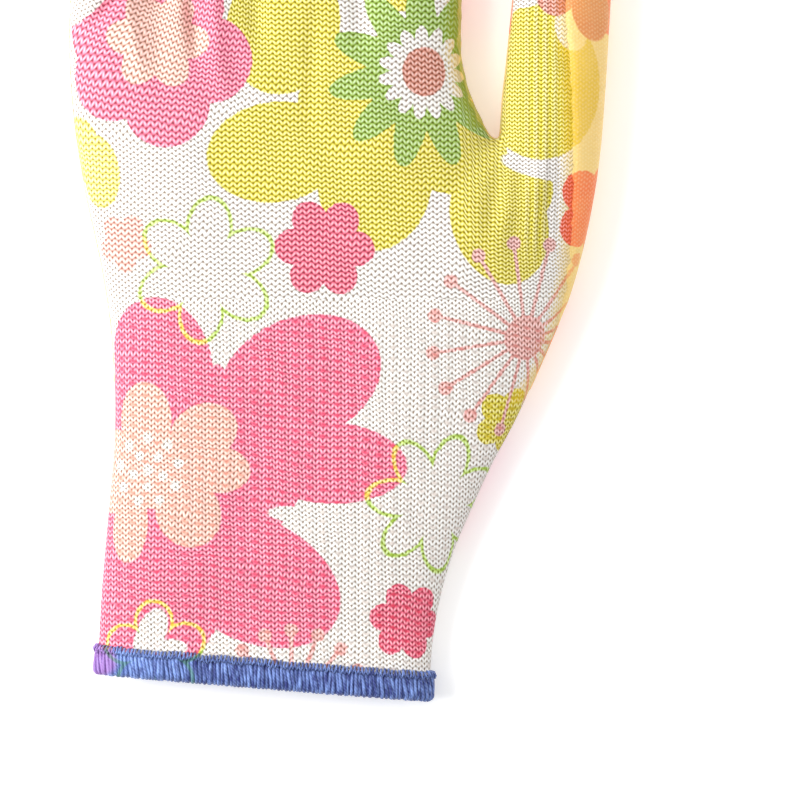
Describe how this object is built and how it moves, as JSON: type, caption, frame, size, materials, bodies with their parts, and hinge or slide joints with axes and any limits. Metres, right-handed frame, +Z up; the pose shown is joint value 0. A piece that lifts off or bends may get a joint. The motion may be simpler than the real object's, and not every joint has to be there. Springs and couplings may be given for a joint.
{
  "type": "pair of gardening gloves",
  "caption": "Pair of knitted gardening gloves with a floral print, ribbed wrist, sewn blue hem and amber dipped palms.",
  "frame": {"origin": "middle of the pair's footprint, on the surface the gloves lie on", "axes": "+X across both gloves towards the thumbs, +Y from the wrists to the fingertips, +Z up"},
  "size_m": [0.2781, 0.2276, 0.0179],
  "materials": {
    "knit": "printed flat knit, matte with a slight sheen",
    "rib": "printed elastic rib knit, matte",
    "thread": "blue overlock thread, satin",
    "film": "translucent amber dipped film, semi-gloss"
  },
  "bodies": {
    "left_hand": {"left_palm": "knit", "left_palm_film": "film", "left_cuff": "rib", "left_cuff_edge": "thread"},
    "left_pinky_base": {"left_pinky_base": "knit", "left_pinky_base_film": "film"},
    "left_pinky_tip": {"left_pinky_tip": "knit", "left_pinky_tip_film": "film"},
    "left_ring_base": {"left_ring_base": "knit", "left_ring_base_film": "film"},
    "left_ring_tip": {"left_ring_tip": "knit", "left_ring_tip_film": "film"},
    "left_middle_base": {"left_middle_base": "knit", "left_middle_base_film": "film"},
    "left_middle_tip": {"left_middle_tip": "knit", "left_middle_tip_film": "film"},
    "left_index_base": {"left_index_base": "knit", "left_index_base_film": "film"},
    "left_index_tip": {"left_index_tip": "knit", "left_index_tip_film": "film"},
    "left_thumb_base": {"left_thumb_base": "knit", "left_thumb_base_film": "film"},
    "left_thumb_tip": {"left_thumb_tip": "knit", "left_thumb_tip_film": "film"},
    "right_hand": {"right_palm": "knit", "right_palm_film": "film", "right_cuff": "rib", "right_cuff_edge": "thread"},
    "right_pinky_base": {"right_pinky_base": "knit", "right_pinky_base_film": "film"},
    "right_pinky_tip": {"right_pinky_tip": "knit", "right_pinky_tip_film": "film"},
    "right_ring_base": {"right_ring_base": "knit", "right_ring_base_film": "film"},
    "right_ring_tip": {"right_ring_tip": "knit", "right_ring_tip_film": "film"},
    "right_middle_base": {"right_middle_base": "knit", "right_middle_base_film": "film"},
    "right_middle_tip": {"right_middle_tip": "knit", "right_middle_tip_film": "film"},
    "right_index_base": {"right_index_base": "knit", "right_index_base_film": "film"},
    "right_index_tip": {"right_index_tip": "knit", "right_index_tip_film": "film"},
    "right_thumb_base": {"right_thumb_base": "knit", "right_thumb_base_film": "film"},
    "right_thumb_tip": {"right_thumb_tip": "knit", "right_thumb_tip_film": "film"}
  },
  "joints": [
    {"name": "left_pinky_knuckle", "type": "hinge", "parent": "left_hand", "child": "left_pinky_base", "pos_m": [-0.13025, 0.0399, 0.0075], "axis": [-1, 0, 0], "range_deg": [0, 80]},
    {"name": "left_pinky_middle_joint", "type": "hinge", "parent": "left_pinky_base", "child": "left_pinky_tip", "pos_m": [-0.13025, 0.0599, 0.0075], "axis": [-1, 0, 0], "range_deg": [0, 80]},
    {"name": "left_ring_knuckle", "type": "hinge", "parent": "left_hand", "child": "left_ring_base", "pos_m": [-0.11115, 0.0439, 0.0075], "axis": [-1, 0, 0], "range_deg": [0, 80]},
    {"name": "left_ring_middle_joint", "type": "hinge", "parent": "left_ring_base", "child": "left_ring_tip", "pos_m": [-0.11115, 0.0689, 0.0075], "axis": [-1, 0, 0], "range_deg": [0, 80]},
    {"name": "left_middle_knuckle", "type": "hinge", "parent": "left_hand", "child": "left_middle_base", "pos_m": [-0.09035, 0.0459, 0.0075], "axis": [-1, 0, 0], "range_deg": [0, 80]},
    {"name": "left_middle_middle_joint", "type": "hinge", "parent": "left_middle_base", "child": "left_middle_tip", "pos_m": [-0.09035, 0.0729, 0.0075], "axis": [-1, 0, 0], "range_deg": [0, 80]},
    {"name": "left_index_knuckle", "type": "hinge", "parent": "left_hand", "child": "left_index_base", "pos_m": [-0.06915, 0.0439, 0.0075], "axis": [-1, 0, 0], "range_deg": [0, 80]},
    {"name": "left_index_middle_joint", "type": "hinge", "parent": "left_index_base", "child": "left_index_tip", "pos_m": [-0.06915, 0.0689, 0.0075], "axis": [-1, 0, 0], "range_deg": [0, 80]},
    {"name": "left_thumb_knuckle", "type": "hinge", "parent": "left_hand", "child": "left_thumb_base", "pos_m": [-0.03977, 0.01029, 0.0075], "axis": [-0.9981, 0.061, 0], "range_deg": [0, 55]},
    {"name": "left_thumb_end_joint", "type": "hinge", "parent": "left_thumb_base", "child": "left_thumb_tip", "pos_m": [-0.03843, 0.03224, 0.0075], "axis": [-0.9981, 0.061, 0], "range_deg": [0, 70]},
    {"name": "right_pinky_knuckle", "type": "hinge", "parent": "right_hand", "child": "right_pinky_base", "pos_m": [0.03575, 0.0399, 0.0075], "axis": [1, 0, 0], "range_deg": [0, 80]},
    {"name": "right_pinky_middle_joint", "type": "hinge", "parent": "right_pinky_base", "child": "right_pinky_tip", "pos_m": [0.03575, 0.0599, 0.0075], "axis": [1, 0, 0], "range_deg": [0, 80]},
    {"name": "right_ring_knuckle", "type": "hinge", "parent": "right_hand", "child": "right_ring_base", "pos_m": [0.05485, 0.0439, 0.0075], "axis": [1, 0, 0], "range_deg": [0, 80]},
    {"name": "right_ring_middle_joint", "type": "hinge", "parent": "right_ring_base", "child": "right_ring_tip", "pos_m": [0.05485, 0.0689, 0.0075], "axis": [1, 0, 0], "range_deg": [0, 80]},
    {"name": "right_middle_knuckle", "type": "hinge", "parent": "right_hand", "child": "right_middle_base", "pos_m": [0.07565, 0.0459, 0.0075], "axis": [1, 0, 0], "range_deg": [0, 80]},
    {"name": "right_middle_middle_joint", "type": "hinge", "parent": "right_middle_base", "child": "right_middle_tip", "pos_m": [0.07565, 0.0729, 0.0075], "axis": [1, 0, 0], "range_deg": [0, 80]},
    {"name": "right_index_knuckle", "type": "hinge", "parent": "right_hand", "child": "right_index_base", "pos_m": [0.09685, 0.0439, 0.0075], "axis": [1, 0, 0], "range_deg": [0, 80]},
    {"name": "right_index_middle_joint", "type": "hinge", "parent": "right_index_base", "child": "right_index_tip", "pos_m": [0.09685, 0.0689, 0.0075], "axis": [1, 0, 0], "range_deg": [0, 80]},
    {"name": "right_thumb_knuckle", "type": "hinge", "parent": "right_hand", "child": "right_thumb_base", "pos_m": [0.12623, 0.01029, 0.0075], "axis": [0.9981, -0.061, 0], "range_deg": [0, 55]},
    {"name": "right_thumb_end_joint", "type": "hinge", "parent": "right_thumb_base", "child": "right_thumb_tip", "pos_m": [0.12757, 0.03224, 0.0075], "axis": [0.9981, -0.061, 0], "range_deg": [0, 70]},
    {"name": "right_glove_lift", "type": "slide", "parent": "left_hand", "child": "right_hand", "axis": [0, 0, 1], "range_m": [0, 0.25]}
  ]
}
